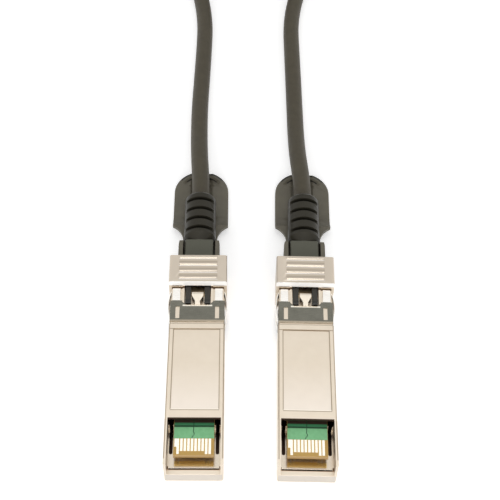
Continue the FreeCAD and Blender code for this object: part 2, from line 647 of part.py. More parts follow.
def make_slider(tag, x):
    """The moulded release slider: thumb tab, saddle under the boot, two arms and two tines."""
    body = new_body(f"release_slider_{tag}")
    tab_end = S.tab_round_centre + S.tab_half
    saddle_half = S.slider_half - S.saddle_inset
    inset, fall = saddle_half - S.waist_half, S.waist_place - S.saddle_start
    shoulder = (inset * inset + fall * fall) / (inset * 2)
    plan = [(saddle_half, S.saddle_start), (S.waist_half, S.waist_place, shoulder),
            (S.tab_half, S.flare_end, -S.flare_radius), (S.tab_half, S.tab_round_centre),
            (0.0, tab_end, S.tab_half),
            (-S.tab_half, S.tab_round_centre, S.tab_half), (-S.tab_half, S.flare_end),
            (-S.waist_half, S.waist_place, -S.flare_radius),
            (-saddle_half, S.saddle_start, shoulder)]
    extrude(body, outline(sketch(body, "XY", S.table_gap), plan), S.saddle_height - S.table_gap)
    between = S.slider_half - S.arm_thickness
    block(body, (-between, S.saddle_start - S.bite, S.table_gap),
          (between, S.block_end + S.running_gap * 2, S.saddle_height), cut=True)
    wing_bottom, under = S.saddle_height - S.wing_depth, S.table_gap - S.bite
    hollow = [(S.waist_place, under), (S.flare_end + S.wing_lap + S.wing_slope, under),
              (S.flare_end + S.wing_lap, wing_bottom), (S.waist_place, wing_bottom)]
    width = S.tab_half + S.bite - S.waist_half
    for start in (S.waist_half, -S.tab_half - S.bite):
        extrude(body, outline(sketch(body, "YZ", start), hollow), width, cut=True)
    drop = S.saddle_height - S.tab_height
    foot = S.web_end + root(S.web_fillet * drop * 2 - drop * drop)
    above = S.saddle_height + S.bite
    step = [(S.web_end, above), (S.web_end, S.saddle_height), (foot, S.tab_height, S.web_fillet),
            (tab_end + S.bite, S.tab_height), (tab_end + S.bite, above)]
    extrude(body, outline(sketch(body, "YZ"), step), S.tab_half * 4, cut=True, both=True)
    bend = S.trough_half * S.trough_half + S.trough_depth * S.trough_depth
    bend = bend / (S.trough_depth * 2)
    trough = circle(sketch(body, "XZ", S.trough_start), 0.0,
                    S.tab_height - S.trough_depth + bend, bend)
    extrude(body, trough, tab_end - S.trough_start + S.bite, cut=True)
    for radius in (S.ridge_outer, S.ridge_inner):
        crest = S.tab_round_centre + radius
        floor = S.tab_height - S.trough_depth
        ridge = outline(sketch(body, "YZ"), [(crest - S.ridge_length, floor), (crest, floor),
                                             (crest - S.ridge_lean, S.tab_height + S.ridge_height),
                                             (crest - S.ridge_length, S.tab_height)])
        revolve(body, ridge, (S.tab_round_centre, 0.0), (S.tab_round_centre, 5.0),
                S.ridge_angle)
    bed = S.cable_diameter / 2 + S.boot_clearance
    extrude(body, circle(sketch(body, "XZ", S.boot_end), 0.0, S.bed_axis, bed),
            tab_end - S.boot_end + S.bite, cut=True)
    bridge_top = hood_inside - S.running_gap
    bridge_rear = S.bridge_front + S.bridge_length
    arm = [(S.bridge_front, S.arm_bottom), (S.foot_start, S.arm_bottom),
           (S.foot_start + S.foot_slope, S.table_gap), (S.arm_drop_end, S.table_gap),
           (S.arm_drop_end, S.saddle_height), (S.arm_drop_start, arm_top),
           (bridge_rear, arm_top), (bridge_rear, bridge_top), (S.bridge_front, bridge_top)]
    for start in (S.slider_half - S.arm_thickness, -S.slider_half):
        extrude(body, outline(sketch(body, "YZ", start), arm), S.arm_thickness)
    for side in (-1, 1):
        wedge = [(S.slider_half, S.arm_taper_start), (S.waist_half, S.waist_place),
                 (S.slider_half + S.bite, S.waist_place),
                 (S.slider_half + S.bite, S.arm_taper_start)]
        wedge = [(side * x, y) for x, y in wedge]
        extrude(body, outline(sketch(body, "XY"), wedge), arm_top + S.bite, cut=True)
    block(body, (-S.slider_half, S.bridge_front, bridge_top - S.bridge_thickness),
          (S.slider_half, bridge_rear, bridge_top))
    nose, web = S.tine_tip, S.bridge_front + S.web_thickness
    low, cheek = tine_bottom, S.tine_tip + S.tine_nose
    tine = [(nose, low + S.tine_chin), (cheek, low), (web, low), (web, bridge_top - S.bite),
            (S.bridge_front, bridge_top - S.bite), (S.bridge_front, tine_top - S.tine_sag / 2),
            (nose + S.tine_ramp_end, tine_top - S.tine_sag), (nose + S.tine_ramp_start, tine_top),
            (cheek, tine_top - S.bite), (nose, tine_top - S.tine_chin)]
    for middle in (S.tine_place, -S.tine_place):
        extrude(body, outline(sketch(body, "YZ", middle - S.tine_half), tine), S.tine_half * 2)
    channel = circle(sketch(body, "XZ", S.saddle_start), 0.0, S.cable_axis,
                     S.boot_radius + S.boot_clearance)
    extrude(body, channel, S.boot_end + S.boot_clearance * 2 - S.saddle_start, cut=True)
    return in_plug(body, f"release_slider_{tag}", x)


def make_return_springs(tag, x):
    """Two waved leaf springs between the slider's bridge and the strain relief's flange."""
    members = []
    start, end = S.bridge_front + S.web_thickness, S.block_front
    base = tine_bottom + S.screw_gap
    waves = 5
    for side in (-1, 1):
        body = new_body(f"spring_leaf_{tag}")
        middle = side * S.tine_place
        centres = [(middle + (S.spring_wave if index % 2 else -S.spring_wave),
                    start + (end - start) * index / (waves - 1)) for index in range(waves)]
        edge = [(px + S.spring_sheet / 2, py) for px, py in centres]
        edge += [(px - S.spring_sheet / 2, py) for px, py in reversed(centres)]
        extrude(body, outline(sketch(body, "XY", base), edge), S.spring_height)
        members.append(body)
    group = DOC.addObject("Part::Compound", f"return_springs_{tag}")
    group.Links = members
    return in_plug(group, f"return_springs_{tag}", x)


def path_wire(points, report=None):
    """Straight runs joined by tangent arcs, each as large as its two runs allow."""
    points = [FreeCAD.Vector(*point) for point in points]
    edges, radii, last = [], [], points[0]
    for before, here, after in zip(points, points[1:], points[2:]):
        back, ahead = (before - here).normalize(), (after - here).normalize()
        half_turn = (math.pi - back.getAngle(ahead)) / 2
        reach = 0.45 * min((before - here).Length, (after - here).Length)
        radii.append(reach / math.tan(half_turn))
        start, end = here + back * reach, here + ahead * reach
        middle_way = (back + ahead).normalize()
        middle = here + middle_way * (radii[-1] / math.cos(half_turn) - radii[-1])
        edges.append(Part.LineSegment(last, start).toShape())
        edges.append(Part.Arc(start, middle, end).toShape())
        last = end
    edges.append(Part.LineSegment(last, points[-1]).toShape())
    if report:
        print(f"{report}: bend radii {', '.join(f'{radius:.0f}' for radius in radii)} mm")
    return Part.Wire(edges)


def tube(points, diameter, report=None):
    """A round solid along a route, with its volume compared with section times length."""
    wire = path_wire(points, report)
    first = wire.Edges[0]
    ring = Part.makeCircle(diameter / 2, first.valueAt(first.FirstParameter),
                           first.tangentAt(first.FirstParameter))
    solid = Part.Wire([Part.Edge(ring)])
    shape = wire.makePipeShell([solid], True, False)
    expected = math.pi * diameter * diameter / 4 * wire.Length
    if abs(shape.Volume / expected - 1) > 0.01:
        raise ValueError(f"{report}: tube volume {shape.Volume:.1f}, expected {expected:.1f}")
    if report:
        print(f"{report}: length {wire.Length:.1f} mm")
    return shape


def make_wires(tag, x):
    """Four insulated signal conductors from the card's solder lands to the cable end."""
    thick = S.wire_diameter.number
    touch = thick / 2 + S.wire_clearance.number
    upper, lower = board_top.number + touch, parting.number - touch
    start, end = (board_end - S.wire_lap).number, (S.block_front - S.wire_end_gap).number
    bend, rise = board_end.number + S.wire_bend_end.number, end - S.wire_rise_length.number
    dip = wire_room.number - touch - S.tine_clearance.number / 2
    axis, half_pitch = S.cable_axis.number, S.wire_pitch.number / 2
    solids = []
    for side in (-1, 1):
        outer, inner = side * half_pitch * 3, side * half_pitch
        solids.append(tube([(outer, start, upper), (outer, (board_end + S.wire_lead).number, upper),
                            (outer, bend, dip), (outer, rise, dip),
                            (inner, end, axis + half_pitch)], thick))
        solids.append(tube([(inner, start, lower), (inner, bend, lower - S.bite.number),
                            (inner, end, axis - half_pitch)], thick))
    item = DOC.addObject("Part::Feature", f"signal_wires_{tag}")
    item.Shape = Part.Compound(solids)
    return in_plug(item, f"signal_wires_{tag}", x)


def make_cable():
    """The two lengths of cable that lie on the table, and the coil of what is left."""
    for tag, points in ROUTES.items():
        item = DOC.addObject("Part::Feature", f"cable_run_{tag}")
        item.Shape = tube(points, S.cable_diameter.number, f"cable_run_{tag}")
        place(item, f"cable_run_{tag}")
    body = new_body("cable_coil")
    wide, tall = S.cable_diameter * 1.5, S.cable_diameter * 2
    inner, outer, bevel = S.coil_radius - wide, S.coil_radius + wide, S.cable_diameter / 4
    section = [(inner, bevel), (inner + bevel, 0.0), (outer - bevel, 0.0), (outer, bevel),
               (outer, tall - bevel), (outer - bevel, tall), (inner + bevel, tall),
               (inner, tall - bevel)]
    revolve(body, outline(sketch(body, "XZ"), section), (0.0, 0.0), (0.0, 10.0))
    place(body, "cable_coil", S.coil_centre_x, S.coil_centre_y)


def main():
    for tag, side in SIDES.items():
        x = side * S.plug_spacing / 2
        make_cover_shell(tag, x)
        make_latch_shell(tag, x)
        make_collar(tag, x)
        make_board(tag, x)
        make_pads(tag, x)
        make_card_parts(tag, x)
        make_screws(tag, x)
        make_strain_relief(tag, x)
        make_ferrule(tag, x)
        make_wires(tag, x)
        make_slider(tag, x)
        make_return_springs(tag, x)
    make_cable()
    DOC.recompute()
    for item in DOC.Objects:
        if "Invalid" in item.State or "Error" in item.State:
            raise ValueError(f"{item.Name} failed: {item.State}")
    os.makedirs("parts", exist_ok=True)
    for item in PARTS:
        shape = item.Shape
        if shape.isNull() or not shape.isValid():
            raise ValueError(f"{item.Label} has no valid shape")
        shape.exportStep(f"parts/{item.Label}.step")
        print(f"{item.Label}: {len(shape.Solids)} solid(s), {shape.Volume:.2f} mm3")


main()
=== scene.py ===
# %% [markdown]
# # A direct attach copper cable
#
# The object is one length of copper network cable with a metal plug on each end. Both plugs
# lie side by side on a table, latch side up, and the rest of the cable lies in a coil behind
# them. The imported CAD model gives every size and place. This file adds the looks: rounded
# castings, moulded grain, solder mask on the card, and the cable itself.

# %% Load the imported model
import math

import bmesh
import bpy
import numpy as np
from mathutils import Matrix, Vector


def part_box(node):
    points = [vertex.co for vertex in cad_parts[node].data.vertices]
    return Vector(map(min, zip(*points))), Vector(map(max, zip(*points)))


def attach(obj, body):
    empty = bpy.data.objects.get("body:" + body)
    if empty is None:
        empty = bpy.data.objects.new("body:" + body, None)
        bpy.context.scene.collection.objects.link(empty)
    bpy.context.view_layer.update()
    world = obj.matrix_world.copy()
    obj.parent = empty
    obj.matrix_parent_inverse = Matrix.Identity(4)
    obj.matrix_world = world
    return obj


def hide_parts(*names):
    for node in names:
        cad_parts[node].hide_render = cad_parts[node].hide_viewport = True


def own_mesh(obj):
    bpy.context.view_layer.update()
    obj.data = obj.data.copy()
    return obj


MM = 0.001
SIDES = {"a": -1, "b": 1}
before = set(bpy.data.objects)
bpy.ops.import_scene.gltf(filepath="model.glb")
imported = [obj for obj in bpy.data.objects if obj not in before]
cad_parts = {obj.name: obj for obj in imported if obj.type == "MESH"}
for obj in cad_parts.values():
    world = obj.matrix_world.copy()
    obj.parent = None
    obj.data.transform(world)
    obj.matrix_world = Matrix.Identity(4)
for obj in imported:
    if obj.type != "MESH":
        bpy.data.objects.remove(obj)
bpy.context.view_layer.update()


# %% [markdown]
# ## Where a plug is
#
# Most details are easiest to place in a plug's own directions: across it, along it from the
# host end, and up from the table. The two plugs stand a little apart at the front and splay
# half a degree each towards the cable, so one small rotation leads from a plug to the model.

# %% Plug coordinates
MIDDLE = 44.75 * MM
PLUG_X = 12.75 * MM
SPLAY = math.radians(0.58)


def in_plug(tag, points):
    """Turn (across, along, up) millimetres of one plug into model coordinates in metres."""
    across, along, up = (np.asarray(points, float) * MM).reshape(-1, 3).T
    side = SIDES[tag]
    x = side * PLUG_X + across * math.cos(SPLAY) + side * along * math.sin(SPLAY)
    y = along * math.cos(SPLAY) - side * across * math.sin(SPLAY) - MIDDLE
    return np.stack([x, y, up], axis=1)


CARD_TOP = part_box("circuit_board_a")[1][2] / MM
print(f"the card's top is {CARD_TOP:.2f} mm above the table")


# %% [markdown]
# ## Node materials
#
# Every finish is a small node graph, so it has no image files and looks right at any distance.
# One helper makes the graph's backbone: a Principled shader, fed by Object coordinates. Since
# every piece keeps its place in its mesh, Object coordinates are the same as the model's own,
# and a grain of 0.2 mm is 0.2 mm on every piece.

# %% A backbone for every finish
NOISE_LOW, NOISE_HIGH = 0.3, 0.7


def finish(name, colour, rough, metal=0.0, **sockets):
    """A new material with a Principled shader; returns the material and its node tree parts."""
    material = bpy.data.materials.new(name)
    material.use_nodes = True
    tree = material.node_tree
    shader = tree.nodes["Principled BSDF"]
    shader.inputs["Base Color"].default_value = (*colour, 1.0)
    shader.inputs["Roughness"].default_value = rough
    shader.inputs["Metallic"].default_value = metal
    for socket, value in sockets.items():
        shader.inputs[socket.replace("_", " ")].default_value = value
    return material, tree, shader


def place_of(tree, scale=(1.0, 1.0, 1.0)):
    """Object coordinates, stretched by scale."""
    coordinate = tree.nodes.new("ShaderNodeTexCoord")
    mapping = tree.nodes.new("ShaderNodeMapping")
    mapping.inputs["Scale"].default_value = scale
    tree.links.new(coordinate.outputs["Object"], mapping.inputs["Vector"])
    return mapping.outputs["Vector"]


def noise(tree, place, size_mm, detail=3.0, roughness=0.5):
    """Smooth noise whose blobs are about size_mm across."""
    node = tree.nodes.new("ShaderNodeTexNoise")
    node.inputs["Scale"].default_value = 1.0 / (size_mm * MM)
    node.inputs["Detail"].default_value = detail
    node.inputs["Roughness"].default_value = roughness
    tree.links.new(place, node.inputs["Vector"])
    return node.outputs["Fac"]


def between(tree, factor, low, high):
    """Map noise, which rarely leaves NOISE_LOW to NOISE_HIGH, onto low to high."""
    node = tree.nodes.new("ShaderNodeMapRange")
    node.inputs["From Min"].default_value = NOISE_LOW
    node.inputs["From Max"].default_value = NOISE_HIGH
    node.inputs["To Min"].default_value = low
    node.inputs["To Max"].default_value = high
    tree.links.new(factor, node.inputs["Value"])
    return node.outputs["Result"]


def shades(tree, factor, dark, light):
    """Mix two colours by a factor."""
    node = tree.nodes.new("ShaderNodeMix")
    node.data_type = "RGBA"
    node.inputs["A"].default_value = (*dark, 1.0)
    node.inputs["B"].default_value = (*light, 1.0)
    tree.links.new(factor, node.inputs["Factor"])
    return node.outputs["Result"]


def maths(tree, operation, *values):
    """One Math node; values are numbers or the outputs of other nodes."""
    node = tree.nodes.new("ShaderNodeMath")
    node.operation = operation
    for socket, value in zip(node.inputs, values):
        if isinstance(value, (int, float)):
            socket.default_value = value
        else:
            tree.links.new(value, socket)
    return node.outputs["Value"]


def bump(tree, shader, height, depth_mm, strength=1.0):
    """Feed a height into the shader's normal."""
    node = tree.nodes.new("ShaderNodeBump")
    node.inputs["Distance"].default_value = depth_mm * MM
    node.inputs["Strength"].default_value = strength
    tree.links.new(height, node.inputs["Height"])
    tree.links.new(node.outputs["Normal"], shader.inputs["Normal"])


# %% [markdown]
# ### Zones of a plug
#
# Light and shade are painted into a casting's colour: highlights on rib crests and edges, shade
# in recesses, and dark shade lines along edges. A zone is a box in the plug's own directions. A
# Compare node gives 1 where a direction lies in its range, and the product of the answers is 1
# inside the box only. Colours are then laid over each other, zone by zone.

# %% Directions and zones in a node tree
TAB_ROUND = 82.26


def directions(tree):
    """A plug's directions as node outputs, in millimetres.

    across is folded, so its sign isn't kept. With x folded to its size, both plugs point
    along (sin a, cos a) from (PLUG_X, -MIDDLE). reach is the distance from the middle of the
    tab's round end.
    """
    parts = tree.nodes.new("ShaderNodeSeparateXYZ")
    tree.links.new(place_of(tree, (1 / MM, 1 / MM, 1 / MM)), parts.inputs["Vector"])
    x = maths(tree, "SUBTRACT", maths(tree, "ABSOLUTE", parts.outputs["X"]), PLUG_X / MM)
    y = maths(tree, "ADD", parts.outputs["Y"], MIDDLE / MM)
    sine, cosine = math.sin(SPLAY), math.cos(SPLAY)
    along = maths(tree, "ADD", maths(tree, "MULTIPLY", x, sine),
                  maths(tree, "MULTIPLY", y, cosine))
    across = maths(tree, "SUBTRACT", maths(tree, "MULTIPLY", x, cosine),
                   maths(tree, "MULTIPLY", y, sine))
    rear = maths(tree, "SUBTRACT", along, TAB_ROUND)
    reach = maths(tree, "SQRT", maths(tree, "ADD", maths(tree, "MULTIPLY", across, across),
                                      maths(tree, "MULTIPLY", rear, rear)))
    return {"across": maths(tree, "ABSOLUTE", across), "along": along,
            "up": parts.outputs["Z"], "reach": reach}


def within(half_width):
    """A range of across that covers both sides of the plug's middle."""
    return (-1.0, half_width)


def zone(tree, ways, ranges):
    """1 where each direction lies in its range, else 0."""
    inside = 1.0
    for way, (low, high) in ranges.items():
        hit = maths(tree, "COMPARE", ways[way], (low + high) / 2, (high - low) / 2)
        inside = maths(tree, "MULTIPLY", hit, inside)
    return inside


def paint(tree, shader, factor, colour):
    """Lay a colour, or another node's output, over whatever drives the shader's Base Color."""
    node = tree.nodes.new("ShaderNodeMix")
    node.data_type = "RGBA"
    socket = shader.inputs["Base Color"]
    tree.links.new(socket.links[0].from_socket, node.inputs["A"])
    if isinstance(colour, tuple):
        node.inputs["B"].default_value = (*colour, 1.0)
    else:
        tree.links.new(colour, node.inputs["B"])
    tree.links.new(factor, node.inputs["Factor"])
    tree.links.new(node.outputs["Result"], socket)


def tint(material, layers):
    """Paint zones of a material, in order; each layer is (colour, ranges in millimetres)."""
    tree = material.node_tree
    ways = directions(tree)
    for colour, ranges in layers:
        paint(tree, tree.nodes["Principled BSDF"], zone(tree, ways, ranges), colour)


# %% [markdown]
# ### Plated zinc
#
# The shells are zinc die castings under satin nickel. The plating is warm grey, a little
# cloudy over a few millimetres, and the casting skin under it is finely pebbled. A metal's
# colour is the colour of its reflection, so the cloudiness goes into colour and roughness
# together, and the pebbles into the bump.

# %% The hood and its grip ribs
HOOD = {"along": (47.65, 60.0)}
HOOD_TONE = (0.585, 0.512, 0.422)
HOOD_WALL = {"along": (47.4, 47.62), "up": (8.6, 12.0)}
WALL_PAINTED_SHINE = (1.0, 0.98, 0.95)
RIBS = {"across": within(4.75), "along": (47.9, 55.3), "up": (10.2, 12.0)}
RIB_FIRST, RIB_PITCH = 48.35, 2.02
# Painted shade and highlights across one rib pitch; the last stop is a white highlight.
RIB_SHINE_AND_SHADE = [(0.04, (0.40, 0.34, 0.27)), (0.13, (0.52, 0.46, 0.38)), (0.22, (0.60, 0.54, 0.45)),
             (0.30, (0.50, 0.43, 0.35)), (0.43, (0.52, 0.45, 0.37)), (0.50, (0.40, 0.34, 0.27)),
             (0.56, (0.40, 0.34, 0.27)), (0.66, (0.54, 0.47, 0.38)), (0.90, (0.54, 0.47, 0.38)),
             (1.00, (1.0, 1.0, 1.0))]


def rib_shine_and_shade(tree, along):
    """Painted highlights on the crests and painted shade in the valleys, repeating with the grip
    ribs.
    """
    turns = maths(tree, "DIVIDE", maths(tree, "SUBTRACT", along, RIB_FIRST - RIB_PITCH),
                  RIB_PITCH)
    ramp = tree.nodes.new("ShaderNodeValToRGB")
    stops = ramp.color_ramp.elements
    stops.remove(stops[1])
    stops[0].position = RIB_SHINE_AND_SHADE[0][0]
    for share, _ in RIB_SHINE_AND_SHADE[1:]:
        stops.new(share)
    for stop, (_, colour) in zip(stops, RIB_SHINE_AND_SHADE):
        stop.color = (*colour, 1.0)
    tree.links.new(maths(tree, "FRACT", turns), ramp.inputs["Fac"])
    return ramp.outputs["Color"]


# %% Painted shade and highlights of the castings: lines, edges and hollows
UNLIT = (0.045, 0.026, 0.018)
SHADE_LINE = (0.38, 0.31, 0.23)
LID = (7.8, 8.6)
CASTING_LAYERS = [
    # Painted shade at the foot of the hood's wall, and a darker top of the latch boss
    ((0.10, 0.065, 0.04), {"along": (46.7, 47.4), "up": (8.1, 8.6)}),
    ((0.62, 0.56, 0.47), {"across": within(1.35), "along": (42.0, 45.25), "up": (8.52, 9.2)}),
    # Painted shade lines round the label recess, along the body's edges, and across the step
    # behind it
    (SHADE_LINE, {"across": (5.44, 5.66), "along": (13.7, 35.2), "up": LID}),
    (SHADE_LINE, {"along": (35.0, 35.25), "up": LID}),
    (SHADE_LINE, {"across": within(5.6), "along": (13.45, 13.65), "up": LID}),
    (SHADE_LINE, {"across": (6.40, 6.66), "along": (1.6, 36.6), "up": LID}),
    (SHADE_LINE, {"along": (36.5, 36.8), "up": LID}),
    # A painted highlight on the front edge of the recess
    ((0.95, 0.90, 0.80), {"across": within(5.5), "along": (13.7, 13.95), "up": (8.0, 8.6)}),
    # The lip's front face painted darker as shade, a painted reflection of the card's edge on the
    # seat, and the seam behind the lip
    ((0.59, 0.54, 0.48), {"along": (-0.5, 0.06), "up": (0.2, 3.35)}),
    ((0.95, 0.78, 0.38), {"across": within(4.45), "along": (2.05, 3.3), "up": (3.2, 3.3)}),
    ((0.85, 0.50, 0.26), {"along": (1.2, 1.6), "up": (2.0, 3.24)}),
    ((0.52, 0.36, 0.24), {"along": (1.06, 1.25), "up": (3.0, 3.45)}),
    # Painted shade in the mouth's front corners and along its upper edge
    ((0.16, 0.10, 0.06), {"across": (5.75, 6.2), "along": (1.25, 2.1), "up": (3.0, 5.5)}),
    (UNLIT, {"across": within(6.05), "along": (11.2, 11.62), "up": LID}),
    # Painted shade inside the body, the seat and the hood, and a lighter, browner painted shade
    # at the rear of the latch pocket
    (UNLIT, {"across": within(6.3), "along": (11.35, 41.0), "up": (1.0, 7.97)}),
    (UNLIT, {"across": within(6.0), "along": (1.0, 60.0), "up": (0.9, 3.2)}),
    (UNLIT, {"across": within(5.9), "along": (48.6, 55.4), "up": (0.9, 9.4)}),
    ((0.55, 0.42, 0.26), {"across": within(3.3), "along": (45.4, 48.6), "up": (0.9, 8.2)})]


# %% Satin nickel over a casting
PLATED = 0.94
LID_END = {"across": within(5.44), "along": (13.95, 26.0), "up": LID}
FADE_FROM, FADE_LENGTH = 26.0, 12.0
SEAT = {"along": (1.3, 11.0), "up": (3.2, 3.3)}
SEAT_ROUGH = 0.20


def plated_zinc():
    """Cloudy satin plating with light and shade painted in zones; the hood's wall is painted matt
    white as a painted reflection, and the seat in the mouth is smoother.
    """
    material, tree, shader = finish("plated_zinc", (0.76, 0.665, 0.545), 0.30, PLATED)
    place = place_of(tree)
    cloud = noise(tree, place, 3.2, 4.0, 0.6)
    tree.links.new(shades(tree, cloud, (0.69, 0.60, 0.485), (0.75, 0.665, 0.55)),
                   shader.inputs["Base Color"])
    ways = directions(tree)
    paint(tree, shader, zone(tree, ways, HOOD), HOOD_TONE)
    paint(tree, shader, zone(tree, ways, RIBS), rib_shine_and_shade(tree, ways["along"]))
    # The hood's wall is a painted reflection: matt white, not metal, so the front panel lights
    # it.
    wall = zone(tree, ways, HOOD_WALL)
    paint(tree, shader, wall, WALL_PAINTED_SHINE)
    tree.links.new(maths(tree, "MULTIPLY_ADD", wall, -PLATED, PLATED),
                   shader.inputs["Metallic"])
    # Painted highlight: the lid grows paler towards the host end.
    towards_host = maths(tree, "MULTIPLY_ADD", ways["along"], -1.0 / FADE_LENGTH,
                         FADE_FROM / FADE_LENGTH)
    paint(tree, shader, maths(tree, "MULTIPLY", zone(tree, ways, LID_END), towards_host),
          (0.80, 0.72, 0.63))
    tint(material, CASTING_LAYERS)
    satin = between(tree, noise(tree, place, 1.4, 0.0), 0.31, 0.36)
    seat = zone(tree, ways, SEAT)
    elsewhere = maths(tree, "SUBTRACT", 1.0, seat)
    tree.links.new(maths(tree, "MULTIPLY_ADD", satin, elsewhere,
                         maths(tree, "MULTIPLY", seat, SEAT_ROUGH)),
                   shader.inputs["Roughness"])
    bump(tree, shader, noise(tree, place, 0.45, 1.0), 0.008, 0.15)
    return material


ZINC = plated_zinc()
print(len(ZINC.node_tree.nodes), "nodes in the plating")


# %% [markdown]
# ### Rolled steel of the collar
#
# The spring collar is stamped from thin stainless strip. Rolling leaves faint lines along one
# direction, so its noise is stretched across the plug, and the colour is a darker grey.

# %% Rolled strip
STRIP_SHINE = (0.90, 0.87, 0.82)
COLLAR_LAYERS = [
    # Painted highlights on the rear tongues and bulged side fingers, then on the notch's rim and
    # the front edge
    (STRIP_SHINE, {"along": (43.25, 48.0)}),
    (STRIP_SHINE, {"across": (6.72, 9.0), "along": (38.0, 48.0)}),
    ((0.85, 0.80, 0.70), {"across": within(3.6), "along": (41.6, 42.0)}),
    ((0.40, 0.34, 0.26), {"along": (37.0, 37.72)})]


def rolled_steel():
    """Grey strip with faint rolling lines across the plug, and painted highlights on tongues,
    fingers and edges.
    """
    material, tree, shader = finish("collar_steel", (0.20, 0.20, 0.17), 0.30, 1.0)
    lines = noise(tree, place_of(tree, (0.06, 1.0, 1.0)), 0.14, 3.0)
    cloud = noise(tree, place_of(tree), 2.4)
    tree.links.new(shades(tree, cloud, (0.125, 0.122, 0.100), (0.21, 0.205, 0.17)),
                   shader.inputs["Base Color"])
    tint(material, COLLAR_LAYERS)
    tree.links.new(between(tree, lines, 0.24, 0.36), shader.inputs["Roughness"])
    bump(tree, shader, lines, 0.006, 0.4)
    return material


STEEL = rolled_steel()


# %% [markdown]
# ### Black mouldings and the cable jacket
#
# The pull tab is hard nylon from a spark-eroded mould: a fine even grain and a soft sheen. The
# boot is a softer compound with a smoother skin. The jacket is extruded, so what grain it has
# runs along the cable, and the curve's own coordinates can carry it round every bend.

# %% Nylon, overmould and jacket
DARKER, LIGHTER = 0.8, 1.22


def moulded(name, colour, rough, grain_mm, depth_mm, specular=0.5):
    """A moulded plastic: even grain in the bump, slight unevenness in the sheen."""
    material, tree, shader = finish(name, colour, rough, Specular_IOR_Level=specular)
    place = place_of(tree)
    cloud = noise(tree, place, 2.6, 4.0)
    darker = tuple(DARKER * part for part in colour)
    lighter = tuple(LIGHTER * part for part in colour)
    tree.links.new(shades(tree, cloud, darker, lighter), shader.inputs["Base Color"])
    tree.links.new(between(tree, noise(tree, place, 0.9), rough - 0.06, rough + 0.06),
                   shader.inputs["Roughness"])
    bump(tree, shader, noise(tree, place, grain_mm, 2.0), depth_mm, 0.6)
    return material


NYLON = moulded("black_nylon", (0.116, 0.105, 0.077), 0.46, 0.16, 0.014, 0.4)
OVERMOULD = moulded("black_overmould", (0.032, 0.029, 0.021), 0.34, 0.22, 0.010, 0.16)
JACKET = moulded("cable_jacket", (0.058, 0.049, 0.031), 0.50, 0.30, 0.020, 0.3)


# %% Painted shade on the mouldings
RIDGE_SHADE = (0.022, 0.020, 0.015)
tint(NYLON, [
    # Painted shade on the arms under the hood, darker tips of the tines, and painted shade lines
    # on the tab's round rim and along the ridge inside it
    ((0.026, 0.023, 0.018), {"along": (42.0, 55.0)}),
    ((0.012, 0.011, 0.008), {"along": (42.0, 43.6)}),
    (RIDGE_SHADE, {"along": (86.4, 90.0), "reach": (6.75, 7.4)}),
    (RIDGE_SHADE, {"across": within(4.4), "along": (85.8, 90.0), "reach": (5.2, 5.5)})])
# The strain relief's block is painted greyer and lighter than its boot.
tint(OVERMOULD, [((0.103, 0.103, 0.080), {"along": (55.0, 61.9)})])


# %% [markdown]
# ### The card and small metal parts
#
# A card is layered: brown laminate, copper, green solder mask, and hard gold on the contacts.
# The mask is a thin clear coat, so it has a smooth gloss over a faintly woven ground.

# %% Card, gold, and small parts
def laminate():
    """Brown laminate with a faint glass weave; a deeper orange between the contacts, and painted
    shade on its front edge.
    """
    material, tree, shader = finish("card_laminate", (0.50, 0.31, 0.09), 0.45)
    weave = tree.nodes.new("ShaderNodeTexWave")
    weave.inputs["Scale"].default_value = 1.0 / (0.5 * MM)
    weave.inputs["Distortion"].default_value = 1.5
    tree.links.new(place_of(tree), weave.inputs["Vector"])
    tree.links.new(shades(tree, weave.outputs["Fac"], (0.43, 0.26, 0.065), (0.54, 0.34, 0.09)),
                   shader.inputs["Base Color"])
    tint(material, [
        ((0.56, 0.35, 0.05), {"across": within(4.0), "along": (4.5, 7.5),
                              "up": (CARD_TOP - 0.1, CARD_TOP + 0.1)}),
        ((0.30, 0.17, 0.04), {"along": (3.0, 3.36)})])
    return material


def solder_mask():
    """Green mask under a thin gloss; painted shade darkens it in steps under the lid: the
    shadow's dark edge, the lid's shadow, then the unlit inside.
    """
    material, tree, shader = finish("solder_mask", (0.16, 0.45, 0.20), 0.35,
                                    Coat_Weight=0.3, Coat_Roughness=0.2)
    cloud = noise(tree, place_of(tree), 0.8)
    tree.links.new(shades(tree, cloud, (0.13, 0.40, 0.17), (0.22, 0.54, 0.26)),
                   shader.inputs["Base Color"])
    tint(material, [((0.045, 0.21, 0.09), {"along": (10.3, 40.0)}),
                    ((0.006, 0.06, 0.02), {"along": (10.3, 10.75)}),
                    (UNLIT, {"along": (11.4, 40.0)})])
    return material


def metal(name, colour, rough, grain_mm=0.2):
    """A small bright metal part with a slight unevenness."""
    material, tree, shader = finish(name, colour, rough, 1.0)
    place = place_of(tree)
    tree.links.new(between(tree, noise(tree, place, grain_mm), rough - 0.05, rough + 0.07),
                   shader.inputs["Roughness"])
    bump(tree, shader, noise(tree, place, grain_mm), 0.004, 0.4)
    return material


# %% Make the small parts' finishes
LAMINATE = laminate()
MASK = solder_mask()
GOLD = metal("contact_gold", (1.0, 0.94, 0.83), 0.25)
SCREW = metal("screw_steel", (0.56, 0.56, 0.57), 0.30)
SPRING = metal("spring_steel", (0.62, 0.61, 0.58), 0.24)
FERRULE = metal("ferrule_metal", (0.66, 0.62, 0.52), 0.28)
CHIP = moulded("chip_epoxy", (0.03, 0.03, 0.033), 0.5, 0.08, 0.006)
CERAMIC = moulded("capacitor_ceramic", (0.45, 0.34, 0.22), 0.5, 0.12, 0.004)
WIRES = moulded("wire_insulation", (0.10, 0.20, 0.48), 0.35, 0.3, 0.003)
print(len(bpy.data.materials), "materials")


